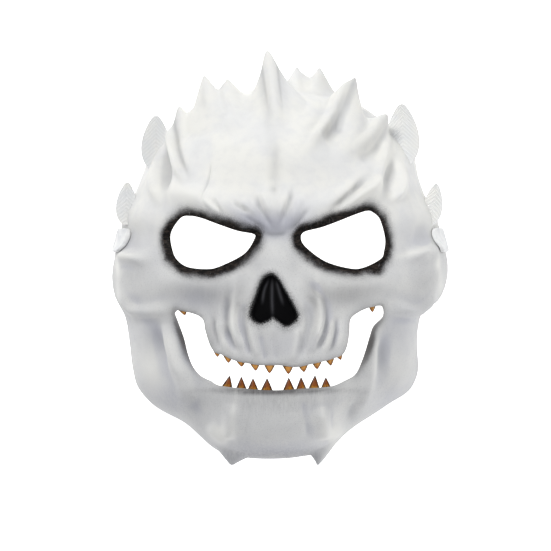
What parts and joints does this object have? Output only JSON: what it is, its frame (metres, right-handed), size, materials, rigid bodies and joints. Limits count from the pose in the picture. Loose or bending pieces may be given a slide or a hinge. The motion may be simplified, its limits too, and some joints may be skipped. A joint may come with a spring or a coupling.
{
  "type": "skull mask",
  "caption": "Full-face moulded foam skull mask with thorn crest, side fins, cut-through eyes and fanged grin, elastic head strap; lies on its rim face up.",
  "frame": {"origin": "middle of the mask's box, in the plane of the rim that it rests on", "axes": "+Z points straight out of the face, +Y to the forehead, +X to the right as one looks at the face"},
  "size_m": [0.2292, 0.279, 0.1082],
  "materials": {
    "foam": "matte moulded foam skin, white with grey airbrush shading, black eye rims and nose, amber fangs",
    "strap_end": "matte white glued tab",
    "elastic": "white knitted elastic band"
  },
  "bodies": {
    "root": {"mask_shell": "foam", "strap_end_right": "strap_end", "strap_end_left": "strap_end", "elastic_strap": "elastic"}
  },
  "joints": []
}
